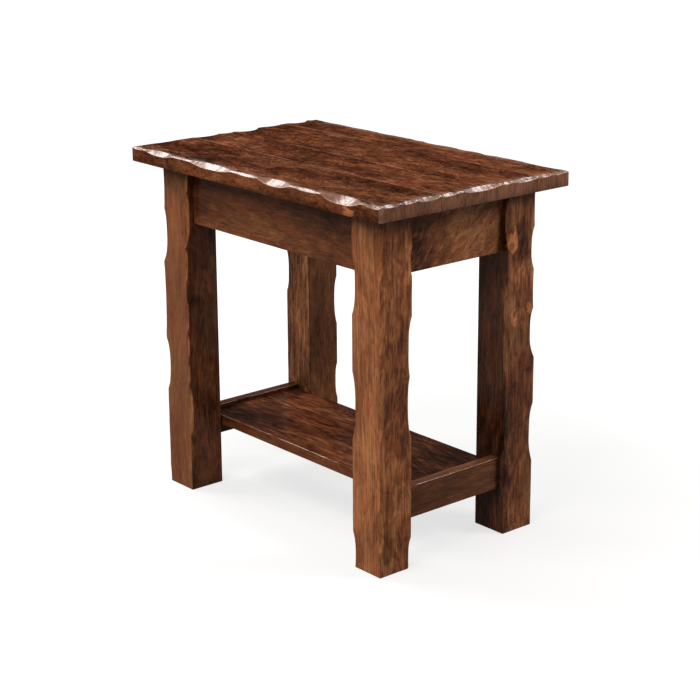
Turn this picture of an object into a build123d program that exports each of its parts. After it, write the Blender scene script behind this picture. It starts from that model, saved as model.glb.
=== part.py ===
"""Rustic side table: hewn four-board top, four hewn legs, aprons, low stretchers and a shelf.

Millimetres, +Z up.  The origin is on the floor under the middle of the top.
X runs along the top's length, and the front is towards -Y.
"""

from build123d import *
import os
from math import cos, radians, sin, sqrt

os.makedirs("parts", exist_ok=True)

# ---------------------------------------------------------------- driving dimensions

# Top: boards glued edge to edge, front to back
table_height = 610.0
top_length = 640.0
top_thickness = 25.4
front_board_width = 126.0
second_board_width = 89.0
third_board_width = 117.0
back_board_width = 72.0
seam_ease = 0.6

# Legs: square posts set in from the top's edges
leg_width = 66.0
end_overhang = 35.0
side_overhang = 33.0
foot_chamfer = 1.0

# Aprons, set back from the legs' outer faces
apron_height = 102.0
apron_thickness = 20.0
long_apron_recess = 21.0
end_apron_recess = 15.0
rail_rounding = 1.2

# Stretchers between the two legs of each end
stretcher_low = 78.0
stretcher_height = 54.0
stretcher_thickness = 18.0
stretcher_recess = 14.0

# Shelf, housed in the stretchers' inner faces
shelf_thickness = 18.0
shelf_drop = 7.0
shelf_side_gap = 4.5
shelf_housing = 6.0
shelf_clearance = 0.2

# Tenons of aprons and stretchers, and their blind mortises
tenon_length = 30.0
tenon_thickness = 10.0
tenon_clearance = 0.1
mortise_spare = 1.0
apron_tenon_top_shoulder = 15.0
apron_tenon_low_shoulder = 12.0
stretcher_tenon_shoulder = 8.0

# Biscuits in the seams of the top
biscuit_length = 56.0
biscuit_width = 23.0
biscuit_thickness = 4.0
biscuit_clearance = 0.1
biscuit_pitch = 140.0
biscuits_per_seam = 4

# Corner blocks, each with one lag screw and washer into its leg
block_height = 40.0
block_drop = 8.0
block_depth = 22.0
lag_diameter = 6.0
lag_bite = 28.0
lag_point = 5.0
lag_head_flats = 10.0
lag_head_height = 4.2
washer_diameter = 18.0
washer_thickness = 1.6
lag_clearance = 0.2

# Wooden buttons that hold the top to the aprons
button_spacing = 240.0
button_width = 25.0
button_length = 34.0
button_thickness = 16.5
button_gap = 0.5
button_tongue = 8.0
button_tongue_thickness = 7.0
button_slot_play = 2.5
button_screw_inset = 18.0
screw_diameter = 4.0
screw_length = 25.0
screw_point = 4.0
screw_head_diameter = 8.0
screw_head_height = 2.4
screw_drive = 2.4
screw_clearance = 0.1

# Hewing: a flat of plateau depth is left between cuts, and each cut is one shallow scoop.
# A cut is (place of its middle along the arris, length, depth below the sharp arris).
# Along a leg the place is the height above the floor; along the top it is the distance
# from the middle of that side.
leg_plateau = 0.8
top_plateau = 1.6
bevel_slope = 30.0
least_land = 1.0
waste_margin = 6.0

leg_cuts = {
    "leg_front_left": {
        "outer": [(0, 90, 4.0), (218, 110, 7.2), (345, 130, 2.2), (452, 84, 7.6), (545, 110, 4.2)],
        "long_side": [(130, 110, 5.0), (330, 120, 6.0), (515, 90, 5.0)],
        "end_side": [(90, 120, 6.0), (290, 110, 5.0), (480, 120, 6.0)],
    },
    "leg_front_right": {
        "outer": [(78, 75, 6.0), (272, 90, 6.0), (400, 80, 4.0), (525, 90, 4.5)],
        "long_side": [(18, 85, 5.2), (272, 112, 5.4), (464, 103, 5.6)],
        "end_side": [(18, 75, 4.8), (271, 120, 6.4), (365, 125, 5.5), (500, 50, 3.0)],
    },
    "leg_back_right": {
        "outer": [(164, 112, 6.4), (343, 92, 7.8), (415, 48, 2.6), (484, 88, 7.8), (552, 48, 2.8)],
        "long_side": [(70, 110, 5.0), (260, 120, 6.0), (450, 110, 6.0)],
        "end_side": [(107, 90, 6.0), (235, 90, 5.0), (392, 80, 5.0), (536, 70, 5.0)],
    },
    "leg_back_left": {
        "outer": [(100, 120, 6.0), (300, 110, 6.0), (495, 100, 5.0)],
        "long_side": [(135, 72, 4.3), (284, 96, 5.5), (480, 90, 6.0)],
        "end_side": [(60, 80, 5.0), (346, 80, 4.8), (530, 90, 5.0)],
    },
}

front_edge_cuts = [
    (-304, 30, 2.8), (-243, 76, 5.5), (-98, 110, 6.0), (0, 50, 2.6), (69, 80, 7.0),
    (150, 50, 2.8), (231, 92, 8.5), (306, 38, 3.5),
]
back_edge_cuts = [
    (-272, 42, 2.4), (-206, 46, 2.3), (-118, 50, 2.7), (-33, 26, 2.4), (8, 54, 3.4),
    (84, 40, 3.0), (139, 34, 3.1), (265, 84, 3.4),
]
right_edge_cuts = [
    (-176, 32, 3.4), (-142, 28, 3.0), (-101, 44, 4.2), (-60, 34, 3.2), (10, 78, 5.0),
    (62, 20, 2.8), (104, 54, 4.2), (148, 26, 3.2), (180, 28, 3.0),
]
left_edge_cuts = [
    (-135, 44, 2.6), (-48, 56, 5.2), (-2, 34, 4.4), (40, 56, 9.0), (100, 40, 3.7),
    (160, 44, 6.8), (194, 20, 4.4),
]

# ---------------------------------------------------------------- places worked out from them

board_widths = {
    "top_board_front": front_board_width,
    "top_board_second": second_board_width,
    "top_board_third": third_board_width,
    "top_board_back": back_board_width,
}
top_depth = sum(board_widths.values())
underside = table_height - top_thickness

leg_outer_x = top_length / 2 - end_overhang
leg_outer_y = top_depth / 2 - side_overhang
leg_inner_x = leg_outer_x - leg_width
leg_inner_y = leg_outer_y - leg_width

apron_low = underside - apron_height
long_apron_y = leg_outer_y - long_apron_recess - apron_thickness / 2
long_apron_inner_y = long_apron_y - apron_thickness / 2
end_apron_x = leg_outer_x - end_apron_recess - apron_thickness / 2
end_apron_inner_x = end_apron_x - apron_thickness / 2
apron_tenon_low = apron_low + apron_tenon_low_shoulder
apron_tenon_height = apron_height - apron_tenon_low_shoulder - apron_tenon_top_shoulder

stretcher_x = leg_outer_x - stretcher_recess - stretcher_thickness / 2
stretcher_inner_x = stretcher_x - stretcher_thickness / 2
stretcher_tenon_low = stretcher_low + stretcher_tenon_shoulder
stretcher_tenon_height = stretcher_height - 2 * stretcher_tenon_shoulder

shelf_top = stretcher_low + stretcher_height - shelf_drop
shelf_low = shelf_top - shelf_thickness
shelf_width = 2 * (leg_inner_y - shelf_side_gap)
shelf_length = 2 * (stretcher_inner_x + shelf_housing)

biscuit_low = underside + (top_thickness - biscuit_thickness) / 2
block_top = underside - block_drop
button_low = underside - button_gap - button_thickness
button_slot_top = button_low + button_tongue_thickness

# The legs, by the signs of their X and Y
leg_signs = {
    "leg_front_left": (-1, -1),
    "leg_front_right": (1, -1),
    "leg_back_right": (1, 1),
    "leg_back_left": (-1, 1),
}

# Each seam's distance from the middle, front to back
seam_places = []
seam_y = -top_depth / 2
for board_width in list(board_widths.values())[:-1]:
    seam_y += board_width
    seam_places.append(seam_y)

# ---------------------------------------------------------------- waste and holes


def hewing_waste(start, along, outward, span, cuts, plateau, reach):
    """Waste hewn off one straight arris.

    The sketch plane holds the arris, along its local X, and the outward direction, which is
    its local Y.  The cut line runs at plateau depth and dips on one arc to each cut's depth.
    """
    arris_plane = Plane(origin=start, x_dir=along, z_dir=Vector(*along).cross(Vector(*outward)))
    first_middle, first_length, _ = cuts[0]
    low_end = min(0, first_middle - first_length / 2) - waste_margin
    with BuildPart() as waste:
        with BuildSketch(arris_plane):
            with BuildLine():
                reached = low_end
                for middle, length, depth in cuts:
                    dip_start = max(middle - length / 2, reached + least_land)
                    dip_end = max(middle + length / 2, dip_start + 2 * depth)
                    Line((reached, -plateau), (dip_start, -plateau))
                    ThreePointArc(
                        (dip_start, -plateau), ((dip_start + dip_end) / 2, -depth), (dip_end, -plateau)
                    )
                    reached = dip_end
                high_end = max(span, reached) + waste_margin
                Polyline(
                    (reached, -plateau), (high_end, -plateau), (high_end, waste_margin),
                    (low_end, waste_margin), (low_end, -plateau),
                )
            make_face()
        extrude(amount=reach, both=True)
    return waste.part


def edge_waste(x_sign, y_sign, cuts):
    """Waste hewn off the top's upper arris on one side; its bevel falls by bevel_slope."""
    side_length = top_depth if x_sign else top_length
    along = (abs(y_sign), abs(x_sign), 0)
    start = (
        x_sign * top_length / 2 - along[0] * side_length / 2,
        y_sign * top_depth / 2 - along[1] * side_length / 2,
        table_height,
    )
    tilt = radians(bevel_slope)
    outward = (x_sign * sin(tilt), y_sign * sin(tilt), cos(tilt))
    from_start = [(middle + side_length / 2, length, depth) for middle, length, depth in cuts]
    return hewing_waste(start, along, outward, side_length, from_start, top_plateau, top_thickness)


def corner_waste(corner_x, corner_y, x_sign, y_sign, cuts):
    """Waste hewn off one upright corner of a leg, square to the corner's diagonal."""
    outward = (x_sign / sqrt(2), y_sign / sqrt(2), 0)
    return hewing_waste(
        (corner_x, corner_y, 0), (0, 0, 1), outward, underside, cuts, leg_plateau, leg_width / 3
    )


def button_places():
    """A plane for each button: its origin is on an apron's inner face at the top's
    underside, local X runs along the apron and local Y points into the table."""
    places = []
    for place_x in (-button_spacing / 2, button_spacing / 2):
        places.append(("apron_front", Plane((place_x, -long_apron_inner_y, underside), (1, 0, 0), (0, 0, 1))))
        places.append(("apron_back", Plane((place_x, long_apron_inner_y, underside), (-1, 0, 0), (0, 0, 1))))
    places.append(("apron_left", Plane((-end_apron_inner_x, 0, underside), (0, -1, 0), (0, 0, 1))))
    places.append(("apron_right", Plane((end_apron_inner_x, 0, underside), (0, 1, 0), (0, 0, 1))))
    return places


def lag_places():
    """A plane for each lag screw: its origin is on the corner block's diagonal face, and its
    local Z points along the screw into the leg's inner corner."""
    places = {}
    for leg_name, (x_sign, y_sign) in leg_signs.items():
        face_shift = block_depth / sqrt(2)
        places[leg_name] = Plane(
            origin=(
                x_sign * (leg_inner_x - face_shift),
                y_sign * (leg_inner_y - face_shift),
                block_top - block_height / 2,
            ),
            x_dir=(0, 0, 1),
            z_dir=(x_sign, y_sign, 0),
        )
    return places


buttons = button_places()
lags = lag_places()
lag_reach = block_depth + lag_bite

edge_wastes = [
    edge_waste(0, -1, front_edge_cuts),
    edge_waste(0, 1, back_edge_cuts),
    edge_waste(1, 0, right_edge_cuts),
    edge_waste(-1, 0, left_edge_cuts),
]

# Slots for the biscuits, across all seams
biscuit_places = [
    ((index - (biscuits_per_seam - 1) / 2) * biscuit_pitch, seam_place)
    for seam_place in seam_places
    for index in range(biscuits_per_seam)
]
with BuildPart() as biscuit_slots:
    with BuildSketch(Plane.XY.offset(biscuit_low - biscuit_clearance)):
        with Locations(*biscuit_places):
            Ellipse(biscuit_length / 2 + biscuit_clearance, biscuit_width / 2 + biscuit_clearance)
    extrude(amount=biscuit_thickness + 2 * biscuit_clearance)

# Pilot holes in the top for the button screws
with BuildPart() as pilot_holes:
    for _, place in buttons:
        with Locations(place.offset(button_low - underside)):
            with Locations((0, button_screw_inset, 0)):
                Cylinder(
                    screw_diameter / 2 + screw_clearance,
                    screw_length + screw_clearance,
                    align=(Align.CENTER, Align.CENTER, Align.MIN),
                )

# ---------------------------------------------------------------- the top's boards

board_front = -top_depth / 2
for board_name, board_width in board_widths.items():
    with BuildPart() as top_board:
        with BuildSketch(Plane.XY.offset(underside)):
            with Locations((0, board_front + board_width / 2)):
                Rectangle(top_length, board_width)
        extrude(amount=top_thickness)
        chamfer(top_board.edges().filter_by(Axis.X).group_by(Axis.Z)[-1], seam_ease)
        for waste in edge_wastes:
            add(waste, mode=Mode.SUBTRACT)
        add(biscuit_slots.part, mode=Mode.SUBTRACT)
        add(pilot_holes.part, mode=Mode.SUBTRACT)
    top_board.part.label = board_name
    export_step(top_board.part, f"parts/{board_name}.step")
    board_front += board_width

with BuildPart() as top_biscuits:
    with BuildSketch(Plane.XY.offset(biscuit_low)):
        with Locations(*biscuit_places):
            Ellipse(biscuit_length / 2, biscuit_width / 2)
    extrude(amount=biscuit_thickness)
top_biscuits.part.label = "top_biscuits"
export_step(top_biscuits.part, "parts/top_biscuits.step")

# ---------------------------------------------------------------- legs

mortise_depth = tenon_length + mortise_spare
mortise_width = tenon_thickness + 2 * tenon_clearance
apron_mortise_height = apron_tenon_height + 2 * tenon_clearance
stretcher_mortise_height = stretcher_tenon_height + 2 * tenon_clearance
apron_tenon_middle = apron_tenon_low + apron_tenon_height / 2
stretcher_tenon_middle = stretcher_tenon_low + stretcher_tenon_height / 2

for leg_name, (x_sign, y_sign) in leg_signs.items():
    cuts = leg_cuts[leg_name]
    outer_x = x_sign * leg_outer_x
    outer_y = y_sign * leg_outer_y
    inner_x = x_sign * leg_inner_x
    inner_y = y_sign * leg_inner_y
    wastes = [
        corner_waste(outer_x, outer_y, x_sign, y_sign, cuts["outer"]),
        corner_waste(inner_x, outer_y, -x_sign, y_sign, cuts["long_side"]),
        corner_waste(outer_x, inner_y, x_sign, -y_sign, cuts["end_side"]),
    ]
    with BuildPart() as leg:
        with BuildSketch():
            with Locations(((outer_x + inner_x) / 2, (outer_y + inner_y) / 2)):
                Rectangle(leg_width, leg_width)
        extrude(amount=underside)
        chamfer(leg.edges().group_by(Axis.Z)[0], foot_chamfer)
        for waste in wastes:
            add(waste, mode=Mode.SUBTRACT)
        with Locations((inner_x + x_sign * mortise_depth / 2, y_sign * long_apron_y, apron_tenon_middle)):
            Box(mortise_depth, mortise_width, apron_mortise_height, mode=Mode.SUBTRACT)
        with Locations((x_sign * end_apron_x, inner_y + y_sign * mortise_depth / 2, apron_tenon_middle)):
            Box(mortise_width, mortise_depth, apron_mortise_height, mode=Mode.SUBTRACT)
        with Locations((x_sign * stretcher_x, inner_y + y_sign * mortise_depth / 2, stretcher_tenon_middle)):
            Box(mortise_width, mortise_depth, stretcher_mortise_height, mode=Mode.SUBTRACT)
        with Locations(lags[leg_name]):
            Cylinder(
                lag_diameter / 2 + screw_clearance,
                lag_reach + lag_clearance,
                align=(Align.CENTER, Align.CENTER, Align.MIN),
                mode=Mode.SUBTRACT,
            )
    leg.part.label = leg_name
    export_step(leg.part, f"parts/{leg_name}.step")

# ---------------------------------------------------------------- aprons

apron_frames = {
    "apron_front": (Plane((0, -long_apron_y, apron_low), (1, 0, 0), (0, 0, 1)), leg_inner_x),
    "apron_back": (Plane((0, long_apron_y, apron_low), (1, 0, 0), (0, 0, 1)), leg_inner_x),
    "apron_left": (Plane((-end_apron_x, 0, apron_low), (0, 1, 0), (0, 0, 1)), leg_inner_y),
    "apron_right": (Plane((end_apron_x, 0, apron_low), (0, 1, 0), (0, 0, 1)), leg_inner_y),
}

for apron_name, (apron_frame, half_length) in apron_frames.items():
    apron_axis = Axis((0, 0, 0), apron_frame.x_dir)
    slot_places = [place for name, place in buttons if name == apron_name]
    with BuildPart() as apron:
        with BuildSketch(apron_frame):
            Rectangle(2 * half_length, apron_thickness)
        extrude(amount=apron_height)
        fillet(apron.edges().filter_by(apron_axis).group_by(Axis.Z)[0], rail_rounding)
        with BuildSketch(apron_frame.offset(apron_tenon_low_shoulder)):
            Rectangle(2 * (half_length + tenon_length), tenon_thickness)
        extrude(amount=apron_tenon_height)
        for place in slot_places:
            with BuildSketch(place.offset(button_slot_top - underside)):
                with Locations((0, -(button_tongue + button_gap) / 2)):
                    Rectangle(button_width + 2 * button_slot_play, button_tongue + button_gap)
            extrude(amount=-button_tongue_thickness - button_gap, mode=Mode.SUBTRACT)
    apron.part.label = apron_name
    export_step(apron.part, f"parts/{apron_name}.step")

# ---------------------------------------------------------------- stretchers and shelf

for stretcher_name, x_sign in (("stretcher_left", -1), ("stretcher_right", 1)):
    with BuildPart() as stretcher:
        with BuildSketch(Plane.XY.offset(stretcher_low)):
            with Locations((x_sign * stretcher_x, 0)):
                Rectangle(stretcher_thickness, 2 * leg_inner_y)
        extrude(amount=stretcher_height)
        fillet(stretcher.edges().filter_by(Axis.Y), rail_rounding)
        with BuildSketch(Plane.XY.offset(stretcher_tenon_low)):
            with Locations((x_sign * stretcher_x, 0)):
                Rectangle(tenon_thickness, 2 * (leg_inner_y + tenon_length))
        extrude(amount=stretcher_tenon_height)
        with BuildSketch(Plane.XY.offset(shelf_low)):
            with Locations((x_sign * (stretcher_inner_x + (shelf_housing + shelf_clearance) / 2), 0)):
                Rectangle(shelf_housing + shelf_clearance, shelf_width + 2 * shelf_clearance)
        extrude(amount=shelf_thickness + shelf_clearance, mode=Mode.SUBTRACT)
    stretcher.part.label = stretcher_name
    export_step(stretcher.part, f"parts/{stretcher_name}.step")

with BuildPart() as shelf_board:
    with BuildSketch(Plane.XY.offset(shelf_low)):
        Rectangle(shelf_length, shelf_width)
    extrude(amount=shelf_thickness)
    fillet(shelf_board.edges().filter_by(Axis.X), rail_rounding)
shelf_board.part.label = "shelf_board"
export_step(shelf_board.part, "parts/shelf_board.step")

# ---------------------------------------------------------------- corner blocks and lag screws

for leg_name, (x_sign, y_sign) in leg_signs.items():
    block_name = leg_name.replace("leg", "corner_block")
    diagonal = leg_inner_x + leg_inner_y - sqrt(2) * block_depth
    with BuildPart() as corner_block:
        with BuildSketch(Plane.XY.offset(block_top - block_height)):
            with BuildLine():
                Polyline(
                    (x_sign * leg_inner_x, y_sign * leg_inner_y),
                    (x_sign * leg_inner_x, y_sign * long_apron_inner_y),
                    (x_sign * (diagonal - long_apron_inner_y), y_sign * long_apron_inner_y),
                    (x_sign * end_apron_inner_x, y_sign * (diagonal - end_apron_inner_x)),
                    (x_sign * end_apron_inner_x, y_sign * leg_inner_y),
                    close=True,
                )
            make_face()
        extrude(amount=block_height)
        with Locations(lags[leg_name]):
            Cylinder(
                lag_diameter / 2 + lag_clearance,
                block_depth + lag_diameter,
                align=(Align.CENTER, Align.CENTER, Align.MIN),
                mode=Mode.SUBTRACT,
            )
    corner_block.part.label = block_name
    export_step(corner_block.part, f"parts/{block_name}.step")

with BuildPart() as corner_washers:
    for place in lags.values():
        with BuildSketch(place.offset(-washer_thickness)):
            Circle(washer_diameter / 2)
            Circle(lag_diameter / 2 + lag_clearance, mode=Mode.SUBTRACT)
        extrude(amount=washer_thickness)
corner_washers.part.label = "corner_washers"
export_step(corner_washers.part, "parts/corner_washers.step")

with BuildPart() as corner_lag_screws:
    for place in lags.values():
        with BuildSketch(place.offset(-washer_thickness - lag_head_height)):
            RegularPolygon(lag_head_flats / 2, 6, major_radius=False)
        extrude(amount=lag_head_height)
        with BuildSketch(place.offset(-washer_thickness)):
            Circle(lag_diameter / 2)
        extrude(amount=washer_thickness + lag_reach - lag_point)
        with Locations(place.offset(lag_reach - lag_point)):
            Cone(lag_diameter / 2, lag_diameter / 10, lag_point, align=(Align.CENTER, Align.CENTER, Align.MIN))
corner_lag_screws.part.label = "corner_lag_screws"
export_step(corner_lag_screws.part, "parts/corner_lag_screws.step")

# ---------------------------------------------------------------- buttons and their screws

with BuildPart() as top_buttons:
    for _, place in buttons:
        with BuildSketch(place.offset(button_low - underside)):
            with Locations((0, button_gap + button_length / 2)):
                Rectangle(button_width, button_length)
        extrude(amount=button_thickness)
        with BuildSketch(place.offset(button_low - underside)):
            with Locations((0, (button_gap + button_length - button_tongue) / 2)):
                Rectangle(button_width, button_length + button_gap + button_tongue)
        extrude(amount=button_tongue_thickness)
        with Locations(place.offset(button_low - underside)):
            with Locations((0, button_screw_inset, 0)):
                Cylinder(
                    screw_diameter / 2 + screw_clearance,
                    button_thickness,
                    align=(Align.CENTER, Align.CENTER, Align.MIN),
                    mode=Mode.SUBTRACT,
                )
                Cone(
                    screw_head_diameter / 2 + screw_clearance,
                    screw_diameter / 2 + screw_clearance,
                    screw_head_height + screw_clearance,
                    align=(Align.CENTER, Align.CENTER, Align.MIN),
                    mode=Mode.SUBTRACT,
                )
top_buttons.part.label = "top_buttons"
export_step(top_buttons.part, "parts/top_buttons.step")

with BuildPart() as button_screws:
    for _, place in buttons:
        with Locations(place.offset(button_low - underside)):
            with Locations((0, button_screw_inset, 0)):
                Cone(
                    screw_head_diameter / 2,
                    screw_diameter / 2,
                    screw_head_height,
                    align=(Align.CENTER, Align.CENTER, Align.MIN),
                )
                Cylinder(
                    screw_diameter / 2,
                    screw_length - screw_point,
                    align=(Align.CENTER, Align.CENTER, Align.MIN),
                )
        with Locations(place.offset(button_low - underside + screw_length - screw_point)):
            with Locations((0, button_screw_inset, 0)):
                Cone(
                    screw_diameter / 2,
                    screw_diameter / 10,
                    screw_point,
                    align=(Align.CENTER, Align.CENTER, Align.MIN),
                )
        with Locations(place.offset(button_low - underside)):
            with Locations((0, button_screw_inset, 0)):
                Box(
                    screw_drive,
                    screw_drive,
                    screw_head_height,
                    align=(Align.CENTER, Align.CENTER, Align.MIN),
                    mode=Mode.SUBTRACT,
                )
button_screws.part.label = "button_screws"
export_step(button_screws.part, "parts/button_screws.step")
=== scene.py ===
"""Looks of a rustic side table: hewn top boards and legs, brown-stained wood, studio light and camera.

Lengths named in millimetres are turned into metres by MM.  The frame's axes hold throughout: +Z is
up, the table's length runs along X, its front edge faces -Y and its feet stand on Z = 0.
"""

import math
from dataclasses import dataclass

import bpy
import numpy as np
from mathutils import Matrix, Vector


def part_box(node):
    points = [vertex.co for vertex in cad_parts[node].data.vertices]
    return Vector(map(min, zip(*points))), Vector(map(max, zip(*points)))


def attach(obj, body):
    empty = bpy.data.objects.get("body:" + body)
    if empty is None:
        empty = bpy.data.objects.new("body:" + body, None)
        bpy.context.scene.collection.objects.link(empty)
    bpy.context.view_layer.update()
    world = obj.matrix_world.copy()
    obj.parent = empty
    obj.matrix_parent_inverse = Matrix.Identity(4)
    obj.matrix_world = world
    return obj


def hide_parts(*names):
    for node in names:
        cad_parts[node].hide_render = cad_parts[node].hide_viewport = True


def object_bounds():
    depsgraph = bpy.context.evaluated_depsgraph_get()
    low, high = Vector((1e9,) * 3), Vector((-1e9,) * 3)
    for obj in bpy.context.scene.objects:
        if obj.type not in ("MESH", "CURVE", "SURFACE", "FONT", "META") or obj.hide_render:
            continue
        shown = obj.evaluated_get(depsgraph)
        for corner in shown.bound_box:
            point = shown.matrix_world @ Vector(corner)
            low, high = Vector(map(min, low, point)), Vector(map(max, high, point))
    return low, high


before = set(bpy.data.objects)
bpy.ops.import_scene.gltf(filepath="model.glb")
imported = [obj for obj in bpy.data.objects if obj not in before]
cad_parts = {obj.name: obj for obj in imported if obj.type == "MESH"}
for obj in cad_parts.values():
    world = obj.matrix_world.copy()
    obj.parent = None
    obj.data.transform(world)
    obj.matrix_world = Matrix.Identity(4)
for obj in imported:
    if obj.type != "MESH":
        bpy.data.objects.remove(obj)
cad_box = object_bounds()

MM = 0.001
frame_top = cad_box[1].z

# --- Camera, floor and light ------------------------------------------------

camera_azimuth = 49.56      # degrees round from the front edge towards +X
camera_elevation = 16.11
camera_roll = -0.30
camera_place = (2.26340, -1.91141, 1.19394)     # in metres
picture_width = 700.0       # pixels of a square picture
focal_pixels = 1817.47
optical_axis = (351.60, 315.43)     # where the axis meets the picture, in pixels from its top left
sensor_width = 36.0         # in millimetres
lamp_aim = Vector((0, 0, 0.35))


def add_object(name, data):
    """An object for a camera, a lamp or a mesh, in the scene."""
    thing = bpy.data.objects.new(name, data)
    bpy.context.scene.collection.objects.link(thing)
    return thing


def make_camera():
    """A camera that looks along minus its third axis, turned by azimuth, elevation and roll."""
    azimuth, elevation, roll = map(math.radians, (camera_azimuth, camera_elevation, camera_roll))
    backwards = Vector((
        math.sin(azimuth) * math.cos(elevation),
        -math.cos(azimuth) * math.cos(elevation),
        math.sin(elevation),
    ))
    level = Vector((math.cos(azimuth), math.sin(azimuth), 0))
    upright = backwards.cross(level)
    right = level * math.cos(roll) + upright * math.sin(roll)
    upwards = upright * math.cos(roll) - level * math.sin(roll)
    camera = add_object("camera", bpy.data.cameras.new("camera"))
    camera.matrix_world = (
        Matrix.Translation(camera_place) @ Matrix((right, upwards, backwards)).transposed().to_4x4()
    )
    camera.data.sensor_width = sensor_width
    camera.data.lens = focal_pixels * sensor_width / picture_width
    camera.data.shift_x = (picture_width / 2 - optical_axis[0]) / picture_width
    camera.data.shift_y = (optical_axis[1] - picture_width / 2) / picture_width
    bpy.context.scene.camera = camera


def make_softbox(name, direction, distance, size, radiance, warmth=0.97):
    """A square area lamp that faces the table, with its brightness given as radiance.

    Its green is the warmth's share of its red, and its blue the same share of its green.
    """
    lamp = bpy.data.lights.new(name, "AREA")
    lamp.shape = "SQUARE"
    lamp.size = size
    lamp.energy = radiance * math.pi * size * size
    lamp.color = (1.0, warmth, warmth * warmth)
    box = add_object(name, lamp)
    towards = Vector(direction).normalized()
    box.location = lamp_aim + towards * distance
    box.rotation_mode = "QUATERNION"
    box.rotation_quaternion = (-towards).to_track_quat("-Z", "Y")


# --- Shader maths -----------------------------------------------------------


class Signal:
    """One value in a material's node tree.  An operator on it adds the Math node that works it out."""

    def __init__(self, finish, socket):
        self.finish = finish
        self.socket = socket

    def maths(self, operation, first, second=0.0):
        return self.finish.add("ShaderNodeMath", {"operation": operation}, {0: first, 1: second})

    def __add__(self, other):
        return self.maths("ADD", self, other)

    def __radd__(self, other):
        return self.maths("ADD", other, self)

    def __sub__(self, other):
        return self.maths("SUBTRACT", self, other)

    def __rsub__(self, other):
        return self.maths("SUBTRACT", other, self)

    def __mul__(self, other):
        return self.maths("MULTIPLY", self, other)

    def __rmul__(self, other):
        return self.maths("MULTIPLY", other, self)

    def __pow__(self, other):
        return self.maths("POWER", self, other)

    def __abs__(self):
        return self.maths("ABSOLUTE", self)

    def sine(self):
        return self.maths("SINE", self)

    def smaller(self, other):
        return self.maths("MINIMUM", self, other)

    def larger(self, other):
        return self.maths("MAXIMUM", self, other)


class Finish:
    """A material or world while it is made: its nodes, and short names for what they are built from."""

    def __init__(self, owner):
        self.owner = owner
        owner.use_nodes = True
        self.tree = owner.node_tree
        self.tree.nodes.clear()

    def add(self, kind, settings=None, inputs=None, output=0):
        """Adds a node: its settings first, then each socket's value or the signal that feeds it.

        A ramp's stops are given as pairs of place and colour.
        """
        node = self.tree.nodes.new(kind)
        for key, value in (settings or {}).items():
            if key == "stops":
                while len(node.color_ramp.elements) < len(value):
                    node.color_ramp.elements.new(1.0)
                for element, (place, colour) in zip(node.color_ramp.elements, value):
                    element.position = place
                    element.color = colour
            else:
                setattr(node, key, value)
        for key, value in (inputs or {}).items():
            if isinstance(value, Signal):
                self.tree.links.new(value.socket, node.inputs[key])
            else:
                node.inputs[key].default_value = value
        return Signal(self, node.outputs[output]) if node.outputs else None

    def split(self, vector):
        """The three numbers of a vector."""
        node = self.add("ShaderNodeSeparateXYZ", None, {0: vector}).socket.node
        return [Signal(self, socket) for socket in node.outputs]

    def join(self, first, second, third):
        """A vector made of three numbers."""
        return self.add("ShaderNodeCombineXYZ", None, {0: first, 1: second, 2: third})

    def vectors(self, operation, *vectors, output=0):
        """Vector maths on vectors, each given as numbers or as a signal."""
        return self.add("ShaderNodeVectorMath", {"operation": operation}, dict(enumerate(vectors)), output)

    def rise(self, value, low, high):
        """0 below low, 1 above high and an S-curve between; low may be the larger one."""
        return self.add(
            "ShaderNodeMapRange",
            {"interpolation_type": "SMOOTHSTEP"},
            {"Value": value, "From Min": low, "From Max": high},
        )

    def blend(self, amount, first, second, manner="MIX"):
        """One colour laid over another."""
        settings = {"data_type": "RGBA", "blend_type": manner, "clamp_factor": True}
        return self.add("ShaderNodeMix", settings, {0: amount, 6: first, 7: second}, output=2)

    def painted(self, name):
        """A number that the mesh carries at each vertex."""
        return self.add("ShaderNodeAttribute", {"attribute_name": name}, output="Fac")

    def bump(self, height, strength, distance):
        """The normal of a fine relief, whose distance is in metres."""
        return self.add(
            "ShaderNodeBump", None, {"Strength": strength, "Distance": distance, "Height": height}
        )

    def close(self, surface):
        """Connects the surface to the material's output."""
        self.add("ShaderNodeOutputMaterial", None, {"Surface": surface})
        return self.owner

    def close_solid(self, sockets):
        """Connects a Principled shader with these sockets to the material's output."""
        return self.close(self.add("ShaderNodeBsdfPrincipled", None, sockets))


def rgb(red, green, blue):
    """A colour as a socket takes it, from linear values."""
    return (red, green, blue, 1.0)


# --- Wood -------------------------------------------------------------------

stain_stops = [
    (0.00, rgb(0.012, 0.0045, 0.0026)),
    (0.25, rgb(0.048, 0.0150, 0.0075)),
    (0.50, rgb(0.128, 0.0410, 0.0175)),
    (0.75, rgb(0.262, 0.0885, 0.0335)),
    (1.00, rgb(0.460, 0.1800, 0.0710)),
]
# Pale colour of wear on the rubbed border, and of the painted highlights on seams, edges and arrises
wear_and_glint_colour = rgb(0.42, 0.235, 0.155)
facet_colour = rgb(0.36, 0.190, 0.130)
amber_colour = rgb(0.66, 0.250, 0.095)
dark_amber_colour = rgb(0.42, 0.135, 0.047)
end_grain_colour = rgb(0.310, 0.135, 0.073)
pitch_colour = rgb(0.014, 0.006, 0.0035)
reddening = (1.03, 0.955, 0.94)     # what the stain's colours are multiplied by where it is redder
yellowing = (0.99, 1.06, 1.05)

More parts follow.
